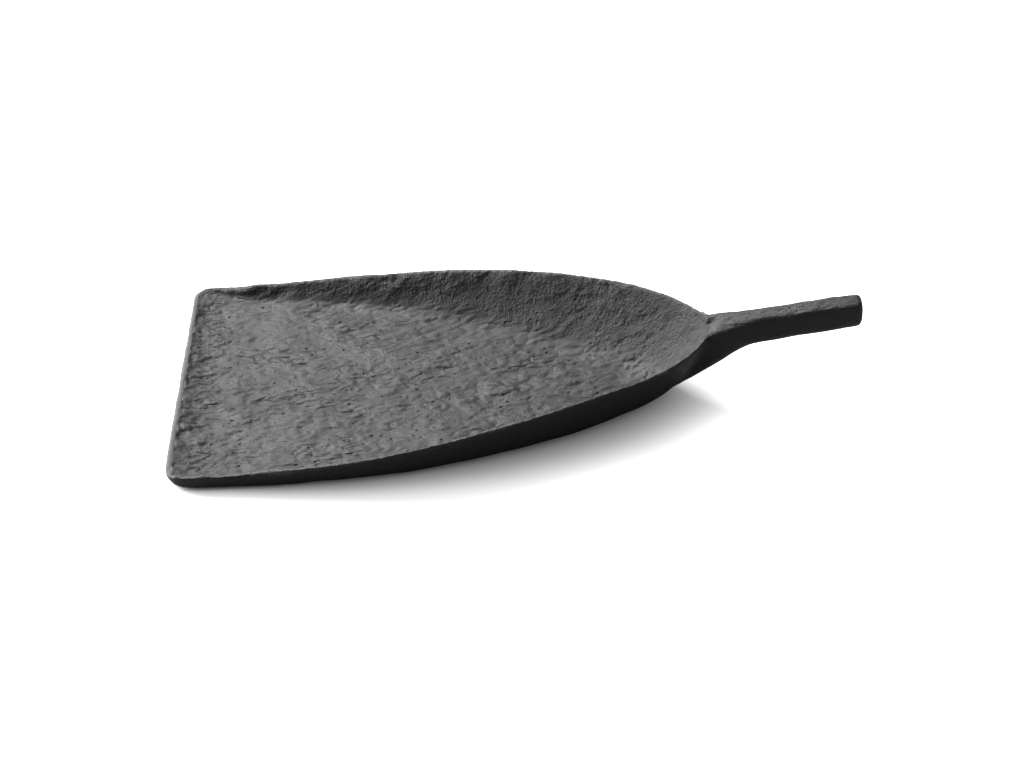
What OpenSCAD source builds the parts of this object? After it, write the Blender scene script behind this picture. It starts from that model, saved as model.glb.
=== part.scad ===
// Shovel-shaped tray: one rough casting, a shallow pan whose rim climbs from a low
// front lip to a bar handle, standing on glued-on rubber feet.
// +X runs along the tray towards the handle, +Z is up, and the origin is on the table
// under the middle of the tray.

/* [Pan] */
// Length of the whole tray, front lip to handle end
overall_l = 600; // [560:5:660]
// Width of the pan across its straight sides
pan_w = 330; // [290:5:370]
// Length of the pan, front lip to the point where its sides meet
pan_l = 470; // [455:5:485]
// Length of the straight part of each side, from the front lip
straight_l = 136; // [110:1:160]
// Radius of the two front corners, seen from above
corner_r = 17; // [10:1:28]
// Thickness of the cast wall at the rim and the floor
wall_t = 4.6; // [4:0.1:6]

/* [Rim and walls] */
// Height of the front lip above the table
front_h = 14; // [12:0.5:18]
// Height of the rim where it runs into the handle, above the table
rear_h = 65.5; // [54:0.5:78]
// How much more the rim climbs in the last stretch before the handle
tip_rise = 2.5; // [0:0.5:8]
// How far the side walls lean out at the front corners
lean_front = 2; // [1.5:0.5:6]
// How far they lean out at the end of the straight sides
lean_mid = 16; // [8:1:24]
// How far the wall at the tip leans out
lean_rear = 50; // [38:1:54]
// How far the underside of the front lip slopes back to the flat base
lip_under = 6; // [3:1:20]
// How far the inside of the front lip slopes back to the flat floor
lip_slope = 42; // [30:1:55]

/* [Handle] */
// Height of the handle's top at its end, above the table
handle_end_h = 96; // [86:0.5:106]
// Depth of the handle bar, top to bottom
handle_d = 27; // [22:0.5:31]
// Width of the handle bar at its widest
handle_w = 25; // [20:0.5:30]
// Length of the rounded end of the handle
handle_dome = 5; // [3:0.5:8]

/* [Feet] */
// Diameter of a rubber foot where it is glued on
foot_d = 18; // [12:1:24]
// Height of a rubber foot
foot_h = 2.6; // [2:0.1:4]
// Diameter of the glue disc above each foot
glue_d = 16; // [10:1:22]
// Thickness of the glue disc
glue_t = 0.4; // [0.3:0.1:0.8]

/* [Hidden] */

// The flat underside of the casting and the flat floor inside it
base_z = foot_h + glue_t;
floor_z = base_z + wall_t;

// Points along half of the outline: corner, straight side, curved side
corner_steps = 6;
side_steps = 6;
curve_steps = 32;
// Rings up each wall, and points round the handle's section
wall_steps = 7;
section_steps = 24;

// Shape of the curved sides at the rim and at the foot of the walls: the half width at a
// share u of the way to the tip is that of the straight part times (1 - u^power)^close
rim_power = 1.65;
rim_close = 0.56;
foot_power = 1.45;
foot_close = 0.75;
// Share of the rim's climb that is a straight ramp, the rest is an S curve
rim_ramp = 0.22;
// Curve of a wall outside and inside: its height grows as this power of the way to the rim
outside_power = 2;
inside_power = 2.3;
// How much further in the rounding inside reaches than the foot of the wall outside
inner_fillet = 20;
// Radius of the front corners of the flat floor
floor_corner_r = 24;
// Drop of the rim's two edges below its crest
rim_round = 1.2;
// Length of the stretch before the tip in which the rim makes its last climb
tip_run = 20;

// Where the handle starts inside the tip of the pan, and where its end starts to round off
root_x = pan_l - 34;
end_x = overall_l - handle_dome;
// How much higher, deeper and wider the handle's root is, and the length it fades over
root_step = 6;
root_depth = 14;
root_w = 9;
root_run = 50;
// How far before the tip the root starts to fade, and how fast its depth does so
root_lead = 8;
root_fade = 1.6;
// Height above the base at which the keel under the tip starts
keel_start = 6;
// Upward bow of the handle's top
handle_bow = 0.2;
// Roundness of the bar's section above and below its middle: 1 is an ellipse, 0 a rectangle
top_round = 0.5;
under_round = 0.75;
// Spacing of the sections at the root, the length that has it, and sections from there on
root_spacing = 6;
root_sections = 70;
bar_steps = 6;
// Size of the flat at the very end of the handle, as a share of the bar's section
end_flat = 0.5;

// Where the feet stand, as [distance from the front lip, distance from the centre line]
foot_front = [46, 122];
foot_side = [250, 84];
foot_rear = [388, 0];
// How much narrower a foot is at its lower edge, and the rounding of that edge
foot_taper = 0.5;
foot_round = 0.8;
// Sides of what is turned round
round_sides = 64;

function smooth(t) = let (c = min(max(t, 0), 1)) c * c * (3 - 2 * c);
function mix(a, b, t) = a + (b - a) * t;

// Height of the rim's crest at a distance x behind the front lip
function rim_z(x) =
    let (t = min(max(x / pan_l, 0), 1))
    front_h + (rear_h - front_h) * (rim_ramp * t + (1 - rim_ramp) * smooth(t))
    + tip_rise * smooth((x - pan_l + tip_run) / tip_run);

// Half of a ring round the pan on the +Y side, from the end of the front lip to the tip
function half_ring(front_x, front_w, straight_w, tip_x, radius, power, close) = concat(
    [for (i = [0:corner_steps - 1])
        let (a = 90 * i / corner_steps)
        [front_x + radius * (1 - cos(a)), front_w - radius * (1 - sin(a))]],
    [for (i = [0:side_steps - 1])
        let (t = i / side_steps)
        [mix(front_x + radius, straight_l, t), mix(front_w, straight_w, t * t)]],
    [for (i = [0:curve_steps])
        let (u = 1 - pow(1 - i / curve_steps, 2))
        [mix(straight_l, tip_x, u), straight_w * pow(1 - pow(u, power), close)]]
);

// The whole ring, anticlockwise from above: back along -Y, then home along +Y
function whole_ring(half) = concat(
    [for (p = half) [p.x, -p.y]],
    [for (i = [len(half) - 2:-1:0]) half[i]]
);

// The rim's edge at a distance in from the outside of the tray
function rim_edge(inset) = whole_ring(half_ring(
    inset, pan_w / 2 - inset, pan_w / 2 - inset, pan_l - inset, corner_r - inset,
    rim_power, rim_close));

// The foot of a wall, where it meets the flat
function wall_foot(front_x, extra, radius) = whole_ring(half_ring(
    front_x, pan_w / 2 - lean_front - extra, pan_w / 2 - lean_mid - extra,
    pan_l - lean_rear - extra, radius, foot_power, foot_close));

outer_edge = rim_edge(0);
crest = rim_edge(wall_t / 2);
inner_edge = rim_edge(wall_t);
outer_foot = wall_foot(lip_under, 0, corner_r);
inner_foot = wall_foot(lip_slope, inner_fillet, floor_corner_r);
ring_n = len(outer_edge);

// Heights of the rim's crest, and of the two edges just below it
crest_z = [for (p = outer_edge) rim_z(p.x)];

// A ring at a share t of the way up a curved wall: level at the foot, steep at the rim
function wall_ring(foot, edge, foot_z, t, height_share) =
    [for (i = [0:ring_n - 1])
        let (p = mix(foot[i], edge[i], t))
        [p.x, p.y, mix(foot_z, crest_z[i] - rim_round, height_share)]];
function outside_ring(t) = wall_ring(outer_foot, outer_edge, base_z, t, pow(t, outside_power));
function inside_ring(t) = wall_ring(inner_foot, inner_edge, floor_z, t, pow(t, inside_power));

// Rings from the edge of the base, up the outside, over the rim and down to the floor
pan_rings = concat(
    [for (k = [0:wall_steps]) outside_ring(k / wall_steps)],
    [[for (i = [0:ring_n - 1]) [crest[i].x, crest[i].y, crest_z[i]]]],
    [for (k = [wall_steps:-1:0]) inside_ring(k / wall_steps)]
);

// A flat end for a ring of n points from index a, as a strip of triangles across it
function end_cap(a, n) =
    [for (i = [0:floor((n - 1) / 2) - 1])
        let (j = n - 1 - i)
        each j - i > 2
            ? [[a + i, a + i + 1, a + j - 1], [a + i, a + j - 1, a + j]]
            : [[a + i, a + i + 1, a + j]]];
function flipped(faces) = [for (f = faces) [f[2], f[1], f[0]]];

// A solid lofted through closed rings with the same number of points, flat at both ends
module loft(rings) {
    n = len(rings[0]);
    points = [for (ring = rings) each ring];
    sides = [for (k = [0:len(rings) - 2]) for (i = [0:n - 1])
        let (j = (i + 1) % n, a = k * n, b = a + n)
        each [[a + i, b + j, a + j], [a + i, b + i, b + j]]];
    last = (len(rings) - 1) * n;
    polyhedron(points, concat(sides, end_cap(0, n), flipped(end_cap(last, n))), convexity = 6);
}

// The pan: floor, leaning walls and rounded rim
module pan() {
    loft(pan_rings);
}

// The space inside the pan, lowered by half the wall's thickness so that it ends in the metal
module pan_hollow() {
    loft(concat(
        [for (k = [0:wall_steps])
            [for (p = inside_ring(k / wall_steps)) [p.x, p.y, p.z - wall_t / 2]]],
        [[for (p = inner_edge) [p.x, p.y, handle_end_h]]]
    ));
}

// Lines of the handle along its length: top, depth and half width
function handle_top(x) =
    let (t = (x - pan_l) / (overall_l - pan_l))
    mix(rear_h + root_step, handle_end_h, t + handle_bow * t * (1 - t));
function handle_depth(x) =
    handle_d + root_depth * pow(1 - smooth((x - pan_l + root_lead) / root_run), root_fade);
function handle_half_w(x) =
    handle_w / 2 + root_w * (1 - smooth((x - pan_l + root_lead) / root_run));

// Lowest line of the keel under the tip of the pan, which runs on as the handle's underside
function keel_z(x) =
    let (t = (x - root_x) / (pan_l - root_x))
    t > 1 ? handle_top(x) - handle_depth(x)
    : mix(base_z + keel_start, handle_top(pan_l) - handle_depth(pan_l), t);

// One section of the bar: a flat top, bulging sides and a rounded underside. It has the
// shape of the bar at x, scaled about its middle and set forward along the bar.
function bar_section(x, scaled, forward) =
    let (
        top = handle_top(x),
        low = keel_z(x),
        mid = (top + low) / 2,
        half_h = (top - low) / 2,
        half_w = handle_half_w(x)
    )
    [for (i = [0:section_steps - 1])
        let (
            a = 360 * i / section_steps + 180 / section_steps,
            power = sin(a) > 0 ? top_round : under_round,
            y = half_w * sign(cos(a)) * pow(abs(cos(a)), power),
            z = half_h * sign(sin(a)) * pow(abs(sin(a)), power)
        )
        [x + forward, y * scaled, mid + z * scaled]];

// The handle bar, from inside the tip of the pan to its domed end
module handle() {
    root_end = root_x + root_sections;
    stations = concat(
        [for (x = [root_x:root_spacing:root_end - 1]) x],
        [for (k = [0:bar_steps]) mix(root_end, end_x, k / bar_steps)]
    );
    dome = [for (a = [30:30:60])
        bar_section(end_x, mix(end_flat, 1, cos(a)), handle_dome * sin(a))];
    difference() {
        loft(concat(
            [for (x = stations) bar_section(x, 1, 0)],
            dome,
            [bar_section(end_x, end_flat, handle_dome)]
        ));
        pan_hollow();
    }
}

module tray_casting() {
    color("#2e2f30")
    translate([-overall_l / 2, 0, 0])
    union() {
        pan();
        handle();
    }
}

// Places a child under the casting, mirrored to the left (-Y) or the right (+Y)
module at_foot(place, side) {
    translate([place.x - overall_l / 2, place.y * side, 0]) children();
}

// A moulded rubber foot: slightly tapered, with a rounded lower edge
module rubber_foot(place, side) {
    low_r = foot_d / 2 - foot_taper;
    color("#161616")
    at_foot(place, side)
    rotate_extrude($fn = round_sides)
    polygon(concat(
        [[0, 0]],
        [for (a = [-90:15:0])
            [low_r - foot_round * (1 - cos(a)), foot_round * (1 + sin(a))]],
        [[foot_d / 2, foot_h], [0, foot_h]]
    ));
}

// The disc of glue that holds a foot to the casting
module glue_disc(place, side) {
    color("#c9c4b4")
    at_foot(place, side)
    translate([0, 0, foot_h]) cylinder(d = glue_d, h = glue_t, $fn = round_sides);
}

tray_casting();
rubber_foot(foot_front, -1);  // rubber_foot_front_left
rubber_foot(foot_front, 1);  // rubber_foot_front_right
rubber_foot(foot_side, -1);  // rubber_foot_side_left
rubber_foot(foot_side, 1);  // rubber_foot_side_right
rubber_foot(foot_rear, 1);  // rubber_foot_rear
glue_disc(foot_front, -1);  // glue_disc_front_left
glue_disc(foot_front, 1);  // glue_disc_front_right
glue_disc(foot_side, -1);  // glue_disc_side_left
glue_disc(foot_side, 1);  // glue_disc_side_right
glue_disc(foot_rear, 1);  // glue_disc_rear
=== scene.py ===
import math

import bpy
import numpy as np
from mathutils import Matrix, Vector
from mathutils import noise


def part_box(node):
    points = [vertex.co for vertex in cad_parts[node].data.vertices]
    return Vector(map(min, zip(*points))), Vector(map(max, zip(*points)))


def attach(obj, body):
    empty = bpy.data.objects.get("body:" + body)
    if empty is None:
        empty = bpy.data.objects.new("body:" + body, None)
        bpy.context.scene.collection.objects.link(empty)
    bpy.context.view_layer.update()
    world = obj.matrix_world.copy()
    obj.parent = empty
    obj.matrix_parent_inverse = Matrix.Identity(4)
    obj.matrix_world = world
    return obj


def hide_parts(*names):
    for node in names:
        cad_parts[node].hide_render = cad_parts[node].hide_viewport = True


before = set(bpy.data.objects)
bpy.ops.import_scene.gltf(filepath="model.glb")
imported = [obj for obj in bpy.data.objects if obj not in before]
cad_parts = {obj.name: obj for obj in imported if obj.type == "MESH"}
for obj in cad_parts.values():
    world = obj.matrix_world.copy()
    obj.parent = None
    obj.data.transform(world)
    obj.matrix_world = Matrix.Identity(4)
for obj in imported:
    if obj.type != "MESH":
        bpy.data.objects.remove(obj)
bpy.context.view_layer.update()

# ---------------------------------------------------------------------------------------
# The tray: one sand casting in aluminium, pan and bar handle poured together in a mould shaped by
# hand, so its skin keeps slumps, creases, pits and grains. It is coated matt charcoal. Its rim and
# other edges are painted lighter, partly as wear where the coating is rubbed thin and partly as
# painted highlight, and its creases, pits and hollows are painted darker as painted shade.

MM = 0.001
tray_low, tray_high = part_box("tray_casting")
PAN_TIP = tray_high.x - 130 * MM  # the handle reaches this far past the tip of the pan
SKIN_SPACING = 1.15 * MM  # between neighbouring points of the skin
FILL_ROUNDS = 360  # how often the corner at the handle is filled up
MOST_TRIANGLES = 192000


def make_active(piece):
    for shown in list(bpy.context.selected_objects):
        shown.select_set(False)
    piece.select_set(True)
    bpy.context.view_layer.objects.active = piece


def apply_modifiers(piece):
    make_active(piece)
    for name in [modifier.name for modifier in piece.modifiers]:
        bpy.ops.object.modifier_apply(modifier=name)


def points_of(piece):
    count = len(piece.data.vertices)
    points = np.empty(count * 3, np.float32)
    normals = np.empty(count * 3, np.float32)
    piece.data.vertices.foreach_get("co", points)
    piece.data.vertex_normals.foreach_get("vector", normals)
    return points.reshape(-1, 3).astype(float), normals.reshape(-1, 3).astype(float)


def put_points(piece, points):
    piece.data.vertices.foreach_set("co", points.astype(np.float32).ravel())
    piece.data.update()


def edges_of(piece):
    pairs = np.empty(len(piece.data.edges) * 2, np.int32)
    piece.data.edges.foreach_get("vertices", pairs)
    return pairs[0::2], pairs[1::2]


def averaged(points, first, second):
    """Each point halfway to the mean of its neighbours."""
    count = len(points)
    share = np.bincount(first, minlength=count) + np.bincount(second, minlength=count)
    total = np.empty_like(points)
    for axis in range(3):
        total[:, axis] = np.bincount(first, points[second, axis], count)
        total[:, axis] += np.bincount(second, points[first, axis], count)
    return 0.5 * points + 0.5 * total / np.maximum(share, 1)[:, None]


def stands_out(piece, rounds):
    """How far each point stands proud of its surroundings, in metres, sunken is negative."""
    points, normals = points_of(piece)
    first, second = edges_of(piece)
    relaxed = points
    for _ in range(rounds):
        relaxed = averaged(relaxed, first, second)
    return np.einsum("ij,ij->i", points - relaxed, normals)


def ramp(values, low, high):
    share = np.clip((values - low) / (high - low), 0, 1)
    return share * share * (3 - 2 * share)


def near(points, place, reach):
    """1 at a place, fading to 0 at its reach along each axis."""
    away = np.linalg.norm((points - np.array(place)) / np.array(reach), axis=1)
    return ramp(1 - away, 0, 1)


def patches(points, size, seed, low, high):
    """Soft islands from 0 to 1, for a skin effect that comes and goes."""
    shift = Vector((seed, 2.3 * seed, 0.7 * seed))
    values = [noise.noise(Vector(point) / size + shift) for point in points]
    return ramp(np.array(values), low, high)


def paint_group(piece, name, weights):
    """A vertex group from an array of weights, in steps of one fiftieth."""
    group = piece.vertex_groups.new(name=name)
    steps = np.round(weights * 50).astype(int)
    for step in np.unique(steps[steps > 0]):
        group.add(np.flatnonzero(steps == step).tolist(), float(step) / 50, "REPLACE")


# The rough form: the casting's mean surface, welded, back to quads and rounded.
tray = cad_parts["tray_casting"].copy()
tray.data = tray.data.copy()
tray.name = "tray"
for key in list(tray.keys()):
    del tray[key]
tray.parent = None
bpy.context.scene.collection.objects.link(tray)
tray.data.materials.clear()
make_active(tray)
bpy.ops.object.mode_set(mode="EDIT")
bpy.ops.mesh.select_all(action="SELECT")
bpy.ops.mesh.remove_doubles(threshold=0.02 * MM)
bpy.ops.mesh.tris_convert_to_quads(face_threshold=math.radians(40), shape_threshold=math.radians(40))
bpy.ops.object.mode_set(mode="OBJECT")
rounding = tray.modifiers.new("rounding", "SUBSURF")
rounding.levels = 2
rounding.render_levels = 2
even_skin = tray.modifiers.new("even skin", "REMESH")
even_skin.mode = "VOXEL"
even_skin.voxel_size = SKIN_SPACING
settle = tray.modifiers.new("settle", "SMOOTH")
settle.factor = 0.5
settle.iterations = 3
apply_modifiers(tray)

# The pattern was filled and rubbed by hand where the handle grows out of the pan. The
# corner between wall and bar is filled from outside: points there move out, never in.
points, normals = points_of(tray)
root = near(points, (PAN_TIP - 8 * MM, 0, 45 * MM), (85 * MM, 60 * MM, 90 * MM))
inner_side = ramp(PAN_TIP - 2 * MM - points[:, 0], 0, 4 * MM) * ramp(normals[:, 2], 0.0, 0.2)
root = ramp(root, 0.0, 0.35) * (1 - inner_side)
first, second = edges_of(tray)
touched = (root[first] > 0) | (root[second] > 0)
first, second = first[touched], second[touched]
used = np.unique(np.concatenate([first, second]))
renumber = np.zeros(len(points), np.int32)
renumber[used] = np.arange(len(used))
first, second = renumber[first], renumber[second]
patch, facing, share = points[used].copy(), normals[used], root[used][:, None]
for _ in range(FILL_ROUNDS):
    step = averaged(patch, first, second) - patch
    outward = np.maximum(np.einsum("ij,ij->i", step, facing), 0)[:, None]
    patch += share * outward * facing
points[used] = patch

# By hand, too: the rim's far end is built up to meet the bar, the saddle between them is
# dished, a knob is left where the near rim ends, and the near rim before it is rubbed down.
far_cheek = near(points, (PAN_TIP - 4 * MM, 14 * MM, 68 * MM), (20 * MM, 7 * MM, 9 * MM))
points[:, 2] += 0.6 * MM * far_cheek
notch = near(points, (PAN_TIP - 9 * MM, 19 * MM, 68 * MM), (9 * MM, 8 * MM, 9 * MM))
points[:, 2] += 2.8 * MM * notch
dish = near(points, (PAN_TIP - 3 * MM, 4 * MM, 70 * MM), (20 * MM, 9 * MM, 10 * MM))
points[:, 2] -= 5.0 * MM * dish * ramp(normals[:, 2], -0.1, 0.5)
knob = near(points, (PAN_TIP + 5 * MM, -9 * MM, 67 * MM), (9 * MM, 6 * MM, 7 * MM))
points += knob[:, None] * np.array((0, -0.8 * MM, 2.0 * MM))
low_shoulder = near(points, (PAN_TIP - 50 * MM, -70 * MM, 52 * MM), (70 * MM, 55 * MM, 60 * MM))
points += low_shoulder[:, None] * np.array((0, -2.0 * MM, -1.6 * MM))
put_points(tray, points)

# Where the skin differs: inside and outside, steep walls, front lip, handle and rim. The
# front lip's own edge is rubbed smooth.
points, normals = points_of(tray)
rim = ramp(stands_out(tray, 12), 0.25 * MM, 0.8 * MM)
for _ in range(3):
    rim = np.maximum(rim, averaged(rim[:, None].repeat(3, 1), *edges_of(tray))[:, 0])
in_pan = ramp(PAN_TIP - points[:, 0], -8 * MM, 4 * MM)
upward = ramp(normals[:, 2], 0.05, 0.3)
# The front lip's rim band: kept out of the inside skins, and painted lighter further down, partly as
# wear and partly as painted highlight.
rim_band = upward * ramp(tray_low.x + 7.5 * MM - points[:, 0], 0, 2 * MM)
inside = in_pan * upward * (1 - rim) * (1 - rim_band)
steep = inside * ramp(1 - normals[:, 2], 0.05, 0.3)
front_lip = inside * ramp(tray_low.x + 60 * MM - points[:, 0], 0, 40 * MM)
bar_top = (1 - in_pan) * ramp(normals[:, 2], 0.1, 0.6)
underside = 1 - np.clip(upward + 0.5 * rim, 0, 1)
paint_group(tray, "inside", inside)
paint_group(tray, "creased", inside * patches(points, 45 * MM, 3.1, -0.15, 0.25))
paint_group(tray, "wrinkled", inside * (1 - 0.6 * steep))
paint_group(tray, "lip", front_lip)
paint_group(tray, "steep", steep)
paint_group(tray, "bar top", bar_top)
paint_group(tray, "outside", underside)
paint_group(tray, "front rim", ramp(tray_low.x + 11 * MM - points[:, 0], 0, 6 * MM))
soft_lip = tray.modifiers.new("soft lip", "SMOOTH")
soft_lip.factor = 0.5
soft_lip.iterations = 30
soft_lip.vertex_group = "front rim"
apply_modifiers(tray)


def skin_layer(piece, name, kind, size, depth, group,
               stretch=(1, 1, 1), turn=0, middle=0.5, **settings):
    """Pushes the surface out and in by a pattern: its size and depth, stretched and turned."""
    texture = bpy.data.textures.new(name, kind)
    texture.noise_scale = size
    for key, value in settings.items():
        setattr(texture, key, value)
    grain = bpy.data.objects.new(name, None)
    bpy.context.scene.collection.objects.link(grain)
    grain.scale = stretch
    grain.rotation_euler = (0, 0, math.radians(turn))
    bpy.context.view_layer.update()
    layer = piece.modifiers.new(name, "DISPLACE")
    layer.texture = texture
    layer.texture_coords = "OBJECT"
    layer.texture_coords_object = grain
    layer.strength = depth
    layer.mid_level = middle
    if group:
        layer.vertex_group = group
    apply_modifiers(piece)
    bpy.data.objects.remove(grain)
    bpy.data.textures.remove(texture)


# Coarse to fine: the mould's slump and the marks of hands, then creases, wrinkles, pebbles.
skin_layer(tray, "slump", "CLOUDS", 65 * MM, 2.4 * MM, None)
skin_layer(tray, "hand dents", "CLOUDS", 26 * MM, 2.6 * MM, "inside", (1.7, 1, 1), 12)
skin_layer(tray, "creases", "CLOUDS", 17 * MM, 3.0 * MM, "creased", (2, 1, 1), 11, 0.35,
           noise_type="HARD_NOISE", noise_depth=2)
skin_layer(tray, "wrinkles", "CLOUDS", 7 * MM, 1.5 * MM, "wrinkled", (1.8, 1, 1), 14, 0.35,
           noise_type="HARD_NOISE", noise_depth=1)
skin_layer(tray, "lip wrinkles", "CLOUDS", 6 * MM, 1.8 * MM, "lip", (1.5, 1, 1), 35,
           noise_depth=2)
skin_layer(tray, "pebbles", "CLOUDS", 3.2 * MM, 1.0 * MM, "steep", (1, 1, 1.3),
           noise_depth=2)
skin_layer(tray, "bar bark", "CLOUDS", 5 * MM, 1.8 * MM, "bar top", (4, 1, 1), noise_depth=2)
skin_layer(tray, "outer lumps", "CLOUDS", 18 * MM, 1.0 * MM, "outside", (2, 1, 1))

# Proud edges, hollows and the kinds of skin are kept on the mesh for the coating. Proud edges and
# the front rim band get a lighter colour, partly wear and partly painted highlight; hollows get
# painted shade.
proud = stands_out(tray, 10)
wear_and_highlight = tray.data.attributes.new("wear_and_highlight", "FLOAT", "POINT")
wear_and_highlight_weights = np.maximum(ramp(proud, 0.2 * MM, 0.9 * MM), rim_band)
wear_and_highlight.data.foreach_set("value", wear_and_highlight_weights.astype(np.float32))
hollows = tray.data.attributes.new("hollows", "FLOAT", "POINT")
hollows.data.foreach_set("value", ramp(-proud, 0.1 * MM, 0.5 * MM).astype(np.float32))
skins = (("floor_skin", inside * (1 - steep)), ("wall_skin", steep), ("bar_skin", bar_top))
for name, weights in skins:
    skin_kind = tray.data.attributes.new(name, "FLOAT", "POINT")
    skin_kind.data.foreach_set("value", weights.astype(np.float32))

thin_out = tray.modifiers.new("thin out", "DECIMATE")
thin_out.ratio = min(1.0, MOST_TRIANGLES / (2 * len(tray.data.polygons)))
apply_modifiers(tray)
tray.vertex_groups.clear()
bpy.ops.object.shade_smooth()


def cast_grain_group():
    """Grain for every skin here: a fine height, soft blotches and scattered pinholes."""
    group = bpy.data.node_groups.new("cast grain", "ShaderNodeTree")
    face = group.interface
    face.new_socket("Fine Scale", in_out="INPUT", socket_type="NodeSocketFloat").default_value = 900
    face.new_socket("Blotch Scale", in_out="INPUT", socket_type="NodeSocketFloat").default_value = 60
    face.new_socket("Height", in_out="OUTPUT", socket_type="NodeSocketFloat")
    face.new_socket("Blotches", in_out="OUTPUT", socket_type="NodeSocketFloat")
    face.new_socket("Pinholes", in_out="OUTPUT", socket_type="NodeSocketFloat")
    nodes, links = group.nodes, group.links
    inputs = nodes.new("NodeGroupInput")
    outputs = nodes.new("NodeGroupOutput")
    place = nodes.new("ShaderNodeTexCoord")
    fine = nodes.new("ShaderNodeTexNoise")
    fine.inputs["Detail"].default_value = 4
    fine.inputs["Roughness"].default_value = 0.62
    blotch = nodes.new("ShaderNodeTexNoise")
    blotch.inputs["Detail"].default_value = 3
    cells = nodes.new("ShaderNodeTexVoronoi")
    cell_scale = nodes.new("ShaderNodeMath")
    cell_scale.operation = "MULTIPLY"
    cell_scale.inputs[1].default_value = 0.3
    holes = nodes.new("ShaderNodeMapRange")
    holes.interpolation_type = "SMOOTHSTEP"
    holes.inputs["From Min"].default_value = 0.05
    holes.inputs["From Max"].default_value = 0.32
    holes.inputs["To Min"].default_value = 1
    holes.inputs["To Max"].default_value = 0
    some = nodes.new("ShaderNodeMath")
    some.operation = "GREATER_THAN"
    some.inputs[1].default_value = 0.72
    chosen = nodes.new("ShaderNodeMath")
    chosen.operation = "MULTIPLY"
    one_random = nodes.new("ShaderNodeSeparateColor")
    for texture in (fine, blotch, cells):
        links.new(place.outputs["Object"], texture.inputs["Vector"])
    links.new(inputs.outputs["Fine Scale"], fine.inputs["Scale"])
    links.new(inputs.outputs["Blotch Scale"], blotch.inputs["Scale"])
    links.new(inputs.outputs["Fine Scale"], cell_scale.inputs[0])
    links.new(cell_scale.outputs[0], cells.inputs["Scale"])
    links.new(cells.outputs["Distance"], holes.inputs["Value"])
    links.new(cells.outputs["Color"], one_random.inputs["Color"])
    links.new(one_random.outputs["Red"], some.inputs[0])
    links.new(some.outputs[0], chosen.inputs[0])
    links.new(holes.outputs["Result"], chosen.inputs[1])
    links.new(fine.outputs["Fac"], outputs.inputs["Height"])
    links.new(blotch.outputs["Fac"], outputs.inputs["Blotches"])
    links.new(chosen.outputs[0], outputs.inputs["Pinholes"])
    return group


cast_grain = cast_grain_group()


def new_material(name):
    material = bpy.data.materials.new(name)
    material.use_nodes = True
    return material, material.node_tree.nodes, material.node_tree.links


def add_grain(nodes, fine_scale, blotch_scale):
    grain = nodes.new("ShaderNodeGroup")
    grain.node_tree = cast_grain
    grain.inputs["Fine Scale"].default_value = fine_scale
    grain.inputs["Blotch Scale"].default_value = blotch_scale
    return grain


def mixed(nodes, links, share, start, end):
    """A colour between two, by a share that comes from another node."""
    mix = nodes.new("ShaderNodeMix")
    mix.data_type = "RGBA"
    for socket, colour in (("A", start), ("B", end)):
        if isinstance(colour, tuple):
            mix.inputs[socket].default_value = colour
        else:
            links.new(colour, mix.inputs[socket])
    links.new(share, mix.inputs["Factor"])
    return mix.outputs["Result"]


def spread(nodes, links, value, low, high, start=0.3, end=0.7):
    """Maps a value from start to end onto low to high."""
    span = nodes.new("ShaderNodeMapRange")
    span.inputs["From Min"].default_value = start
    span.inputs["From Max"].default_value = end
    span.inputs["To Min"].default_value = low
    span.inputs["To Max"].default_value = high
    links.new(value, span.inputs["Value"])
    return span.outputs["Result"]


def combine(nodes, links, operation, one, other):
    """Arithmetic on two values, each from a node or a plain number."""
    step = nodes.new("ShaderNodeMath")
    step.operation = operation
    for socket, value in zip(step.inputs, (one, other)):
        if isinstance(value, (int, float)):
            socket.default_value = value
        else:
            links.new(value, socket)
    return step.outputs[0]


def stretched(nodes, links, scale, turn):
    """Object coordinates stretched along some axes and turned about Z."""
    place = nodes.new("ShaderNodeTexCoord")
    mapping = nodes.new("ShaderNodeMapping")
    mapping.inputs["Scale"].default_value = scale
    mapping.inputs["Rotation"].default_value = (0, 0, math.radians(turn))
    links.new(place.outputs["Object"], mapping.inputs["Vector"])
    return mapping.outputs["Vector"]


def soft_noise(nodes, links, vector, scale, detail):
    cloud = nodes.new("ShaderNodeTexNoise")
    cloud.inputs["Scale"].default_value = scale
    cloud.inputs["Detail"].default_value = detail
    links.new(vector, cloud.inputs["Vector"])
    return cloud.outputs["Fac"]


def kept(nodes, name):
    """What was kept on the mesh under a name."""
    stored = nodes.new("ShaderNodeAttribute")
    stored.attribute_name = name
    return stored.outputs["Fac"]


coating, nodes, links = new_material("charcoal cast coating")
skin = nodes["Principled BSDF"]
skin.inputs["Specular IOR Level"].default_value = 0.32
grain = add_grain(nodes, 560, 42)
blotches = grain.outputs["Blotches"]
on_floor = kept(nodes, "floor_skin")
on_wall = kept(nodes, "wall_skin")

# The floor: folds where a soft noise crosses its middle, in some places only, a crumpled
# ground that is rough or calm by stretches, and a few round pits.
along = stretched(nodes, links, (0.5, 1, 1), -12)
where_creased = spread(nodes, links, soft_noise(nodes, links, along, 26, 2), 0, 1, 0.48, 0.62)
folds = soft_noise(nodes, links, along, 62, 2)
creases = combine(nodes, links, "ABSOLUTE", combine(nodes, links, "SUBTRACT", folds, 0.5), 0)
creases = spread(nodes, links, creases, 1, 0, 0, 0.06)
creases = combine(nodes, links, "MULTIPLY", creases, where_creased)
creases = combine(nodes, links, "MULTIPLY", creases, on_floor)
crumple = combine(nodes, links, "SUBTRACT", soft_noise(nodes, links, along, 125, 3), 0.5)
how_rough = spread(nodes, links, soft_noise(nodes, links, along, 17, 2), 0.2, 0.8, 0.4, 0.62)
crumple = combine(nodes, links, "MULTIPLY", crumple, how_rough)
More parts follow.
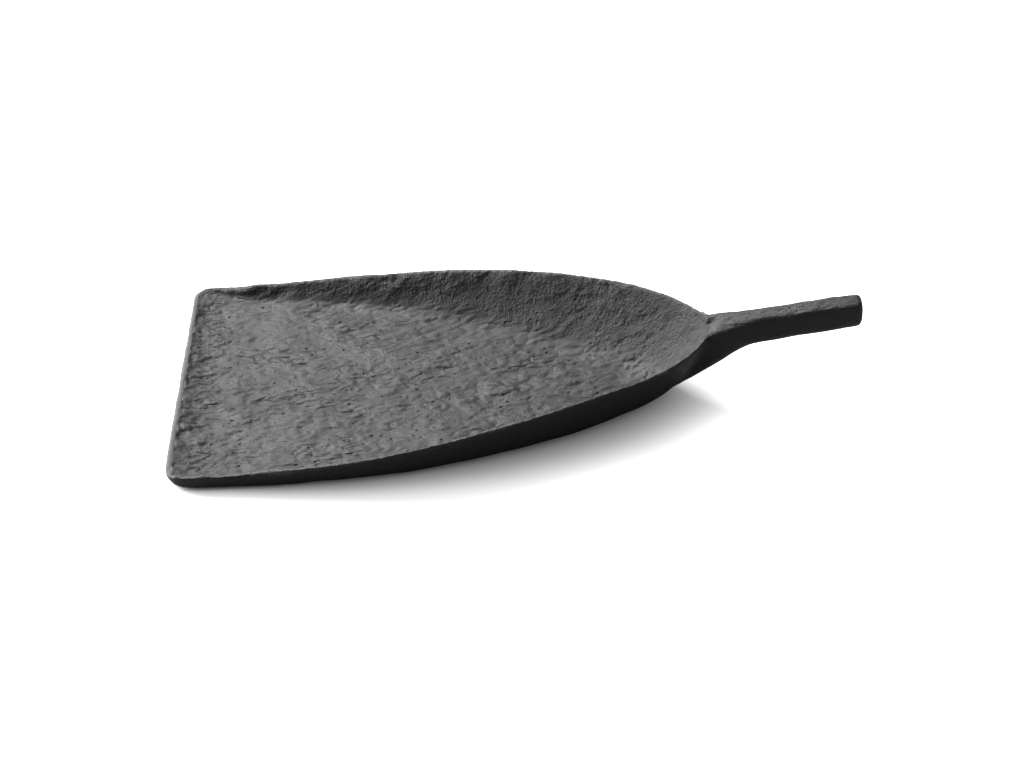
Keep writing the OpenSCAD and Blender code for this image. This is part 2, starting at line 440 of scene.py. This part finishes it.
# The steep walls are pebbled, and the top of the bar is streaked along its length.
upright = stretched(nodes, links, (1, 1, 0.7), 0)
pebbles = combine(nodes, links, "MULTIPLY", soft_noise(nodes, links, upright, 560, 4), on_wall)
streaky = stretched(nodes, links, (0.3, 1, 1), 0)
streaks = soft_noise(nodes, links, streaky, 380, 3)
streaks = combine(nodes, links, "MULTIPLY", streaks, kept(nodes, "bar_skin"))
pit_cells = nodes.new("ShaderNodeTexVoronoi")
pit_cells.inputs["Scale"].default_value = 155
links.new(stretched(nodes, links, (0.8, 1, 1), -12), pit_cells.inputs["Vector"])
pit_random = nodes.new("ShaderNodeSeparateColor")
links.new(pit_cells.outputs["Color"], pit_random.inputs["Color"])
pits = spread(nodes, links, pit_cells.outputs["Distance"], 1, 0, 0.08, 0.27)
pits = combine(nodes, links, "MULTIPLY", pits,
               combine(nodes, links, "GREATER_THAN", pit_random.outputs["Red"], 0.84))
pits = combine(nodes, links, "MULTIPLY", pits, on_floor)

# Two depths of relief, the coarse one under the grain.
coarse = combine(nodes, links, "SUBTRACT", crumple, combine(nodes, links, "MULTIPLY", creases, 0.4))
coarse = combine(nodes, links, "SUBTRACT", coarse, combine(nodes, links, "MULTIPLY", pits, 0.9))
coarse = combine(nodes, links, "ADD", coarse, combine(nodes, links, "ADD", pebbles, streaks))
fine = combine(nodes, links, "SUBTRACT", grain.outputs["Height"],
               combine(nodes, links, "MULTIPLY", grain.outputs["Pinholes"], 0.6))
big_relief = nodes.new("ShaderNodeBump")
big_relief.inputs["Strength"].default_value = 1
big_relief.inputs["Distance"].default_value = 1.9 * MM
links.new(coarse, big_relief.inputs["Height"])
relief = nodes.new("ShaderNodeBump")
relief.inputs["Strength"].default_value = 1
relief.inputs["Distance"].default_value = 0.5 * MM
links.new(fine, relief.inputs["Height"])
links.new(big_relief.outputs["Normal"], relief.inputs["Normal"])
links.new(relief.outputs["Normal"], skin.inputs["Normal"])

thick_coat = (0.021, 0.0211, 0.0213, 1)
thin_coat = (0.03, 0.0301, 0.0304, 1)
painted_shade_black = (0.006, 0.006, 0.0062, 1)
wear_and_highlight_grey = (0.12, 0.1202, 0.121, 1)
base = mixed(nodes, links, blotches, thick_coat, thin_coat)
# Painted shade: creases, pits and hollows are painted darker, towards near black.
sunk = combine(nodes, links, "MAXIMUM", combine(nodes, links, "MULTIPLY", creases, 0.3), pits)
hollow_shade = combine(nodes, links, "MULTIPLY", kept(nodes, "hollows"), 0.35)
sunk = combine(nodes, links, "MAXIMUM", sunk, hollow_shade)
sunk = combine(nodes, links, "MULTIPLY", sunk, 0.7)
base = mixed(nodes, links, sunk, base, painted_shade_black)
# Proud edges and the front rim band are painted lighter grey, partly as wear of the coating and
# partly as painted highlight.
uneven = spread(nodes, links, blotches, 0.2, 0.9)
wear_and_highlight_share = combine(nodes, links, "MULTIPLY", kept(nodes, "wear_and_highlight"), uneven)
base = mixed(nodes, links, wear_and_highlight_share, base, wear_and_highlight_grey)
links.new(base, skin.inputs["Base Color"])
rough = spread(nodes, links, blotches, 0.5, 0.62)
rough = combine(nodes, links, "ADD", rough, combine(nodes, links, "MULTIPLY", sunk, 0.25))
links.new(rough, skin.inputs["Roughness"])
tray.data.materials.append(coating)

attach(tray, "root")
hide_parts("tray_casting")

# ---------------------------------------------------------------------------------------
# The feet: five moulded rubber buttons, one mould for all. Each has a rounded lower edge,
# a shallow suction dish underneath with a moulding nub in it, and a matt bloom.

foot_names = [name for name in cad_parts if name.startswith("rubber_foot")]
foot_low, foot_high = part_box(foot_names[0])
foot_r = (foot_high.x - foot_low.x) / 2
foot_h = foot_high.z - foot_low.z
foot_centre = (foot_low + foot_high) / 2
TAPER = 0.945  # lower face to upper face


def select_facing(piece, direction, at_least=0.9):
    """In edit mode, selects the faces that look one way and nothing else."""
    make_active(piece)
    bpy.ops.object.mode_set(mode="EDIT")
    bpy.ops.mesh.select_mode(type="FACE")
    bpy.ops.mesh.select_all(action="DESELECT")
    bpy.ops.object.mode_set(mode="OBJECT")
    for face in piece.data.polygons:
        face.select = face.normal.dot(Vector(direction)) > at_least
    bpy.ops.object.mode_set(mode="EDIT")


for shown in list(bpy.context.selected_objects):
    shown.select_set(False)
bpy.ops.mesh.primitive_cylinder_add(vertices=48, radius=foot_r, depth=foot_h, location=foot_centre)
foot = bpy.context.object
bpy.ops.object.transform_apply(location=True, rotation=True, scale=True)
select_facing(foot, (0, 0, -1))
bpy.ops.transform.resize(value=(TAPER, TAPER, 1), center_override=foot_centre)
bpy.ops.mesh.inset(thickness=2.4 * MM)
bpy.ops.mesh.inset(thickness=1.0 * MM)
bpy.ops.transform.translate(value=(0, 0, 0.9 * MM))
bpy.ops.mesh.inset(thickness=3.6 * MM)
bpy.ops.transform.translate(value=(0, 0, 0.3 * MM))
bpy.ops.mesh.inset(thickness=0.5 * MM)
bpy.ops.transform.translate(value=(0, 0, -0.5 * MM))
bpy.ops.object.mode_set(mode="OBJECT")
edge_round = foot.modifiers.new("moulded edges", "BEVEL")
edge_round.width = 0.45 * MM
edge_round.segments = 3
edge_round.limit_method = "ANGLE"
edge_round.angle_limit = math.radians(30)
apply_modifiers(foot)
bpy.ops.object.shade_smooth_by_angle(angle=math.radians(50))

rubber, nodes, links = new_material("black rubber")
skin = nodes["Principled BSDF"]
skin.inputs["Specular IOR Level"].default_value = 0.4
grain = add_grain(nodes, 2600, 160)
clean_rubber = (0.008, 0.008, 0.008, 1)
bloomed_rubber = (0.028, 0.028, 0.027, 1)
bloom = mixed(nodes, links, grain.outputs["Blotches"], clean_rubber, bloomed_rubber)
links.new(bloom, skin.inputs["Base Color"])
links.new(spread(nodes, links, grain.outputs["Blotches"], 0.6, 0.82), skin.inputs["Roughness"])
relief = nodes.new("ShaderNodeBump")
relief.inputs["Strength"].default_value = 1
relief.inputs["Distance"].default_value = 0.06 * MM
links.new(grain.outputs["Height"], relief.inputs["Height"])
links.new(relief.outputs["Normal"], skin.inputs["Normal"])
foot.data.materials.append(rubber)

for name in foot_names:
    low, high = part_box(name)
    if name == foot_names[0]:
        piece = foot
    else:
        piece = foot.copy()
        piece.data = foot.data.copy()
        bpy.context.scene.collection.objects.link(piece)
        make_active(piece)
        bpy.ops.object.mode_set(mode="EDIT")
        bpy.ops.mesh.select_all(action="SELECT")
        bpy.ops.transform.translate(value=(low + high) / 2 - foot_centre)
        bpy.ops.object.mode_set(mode="OBJECT")
    piece.name = name.replace("rubber_foot", "foot")
    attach(piece, "root")
    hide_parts(name)

# ---------------------------------------------------------------------------------------
# The glue: a thin disc of clear adhesive holds each foot to the casting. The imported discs
# have the right shape already, so they only get their cloudy, slightly yellowed body.

glue, nodes, links = new_material("cloudy glue")
skin = nodes["Principled BSDF"]
skin.inputs["Specular IOR Level"].default_value = 0.5
grain = add_grain(nodes, 1500, 260)
yellowed = (0.5, 0.46, 0.36, 1)
milky = (0.7, 0.68, 0.6, 1)
bubbles = (0.82, 0.82, 0.78, 1)
body = mixed(nodes, links, grain.outputs["Blotches"], yellowed, milky)
body = mixed(nodes, links, grain.outputs["Pinholes"], body, bubbles)
links.new(body, skin.inputs["Base Color"])
links.new(spread(nodes, links, grain.outputs["Blotches"], 0.22, 0.4), skin.inputs["Roughness"])
relief = nodes.new("ShaderNodeBump")
relief.inputs["Strength"].default_value = 0.6
relief.inputs["Distance"].default_value = 0.05 * MM
links.new(grain.outputs["Height"], relief.inputs["Height"])
links.new(relief.outputs["Normal"], skin.inputs["Normal"])
for name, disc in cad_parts.items():
    if name.startswith("glue_disc"):
        for slot in disc.material_slots:
            slot.material = glue

# ---------------------------------------------------------------------------------------
# The studio: a white paper floor, soft boxes behind the tray, to its left and overhead, and a little
# light from all round. The paper throws less light back than it shows, and it has a painted glow
# where the room above it is open, which lifts it to white and leaves a short painted shadow round
# the tray.

for shown in list(bpy.context.selected_objects):
    shown.select_set(False)
bpy.ops.mesh.primitive_plane_add(size=14, location=(0, 0, 0))
floor = bpy.context.object
floor.name = "studio_floor"
paper, nodes, links = new_material("white paper")
skin = nodes["Principled BSDF"]
skin.inputs["Base Color"].default_value = (0.9, 0.9, 0.9, 1)
skin.inputs["Roughness"].default_value = 0.9
skin.inputs["Specular IOR Level"].default_value = 0.2
skin.inputs["Emission Color"].default_value = (1, 1, 1, 1)
# Painted glow: the paper glows where nothing stands close above it, so a painted shadow stays close
# round the tray.
open_sky = nodes.new("ShaderNodeAmbientOcclusion")
open_sky.inputs["Distance"].default_value = 50 * MM
glow = combine(nodes, links, "POWER", open_sky.outputs["AO"], 1.4)
links.new(combine(nodes, links, "MULTIPLY", glow, 0.95), skin.inputs["Emission Strength"])
# Rays other than the camera's see a darker paper, so less light comes back onto the tray.
dim_bounce = nodes.new("ShaderNodeBsdfDiffuse")
dim_bounce.inputs["Color"].default_value = (0.45, 0.45, 0.45, 1)
path = nodes.new("ShaderNodeLightPath")
either = nodes.new("ShaderNodeMixShader")
links.new(path.outputs["Is Camera Ray"], either.inputs["Fac"])
links.new(dim_bounce.outputs[0], either.inputs[1])
links.new(skin.outputs[0], either.inputs[2])
links.new(either.outputs[0], nodes["Material Output"].inputs["Surface"])
floor.data.materials.append(paper)


def soft_box(name, direction, distance, across, power):
    light = bpy.data.lights.new(name, "AREA")
    light.shape = "DISK"
    light.size = across
    light.energy = power
    lamp = bpy.data.objects.new(name, light)
    toward = Vector(direction).normalized()
    lamp.location = toward * distance
    lamp.rotation_euler = (-toward).to_track_quat("-Z", "Y").to_euler()
    bpy.context.scene.collection.objects.link(lamp)


soft_box("back_box", (-0.3, 0.7, 0.64), 3.0, 1.1, 114)
soft_box("left_box", (-0.95, 0.4, 0.36), 2.6, 1.4, 142)
soft_box("overhead_box", (-0.3, 0, 1), 2.6, 2.4, 10)
world = bpy.data.worlds.new("studio")
world.use_nodes = True
world.node_tree.nodes["Background"].inputs["Color"].default_value = (1, 1, 1, 1)
world.node_tree.nodes["Background"].inputs["Strength"].default_value = 0.14
bpy.context.scene.world = world
bpy.context.scene.view_settings.view_transform = "Standard"

lens = bpy.data.cameras.new("camera")
lens.sensor_width = 36
lens.lens = 113.7
camera = bpy.data.objects.new("camera", lens)
look_at = Vector((-0.0057, 0, 0.0075))
rise = math.radians(31)
camera.location = look_at + 2.857 * Vector((0, -math.cos(rise), math.sin(rise)))
camera.rotation_euler = (look_at - camera.location).to_track_quat("-Z", "Y").to_euler()
bpy.context.scene.collection.objects.link(camera)
bpy.context.scene.camera = camera
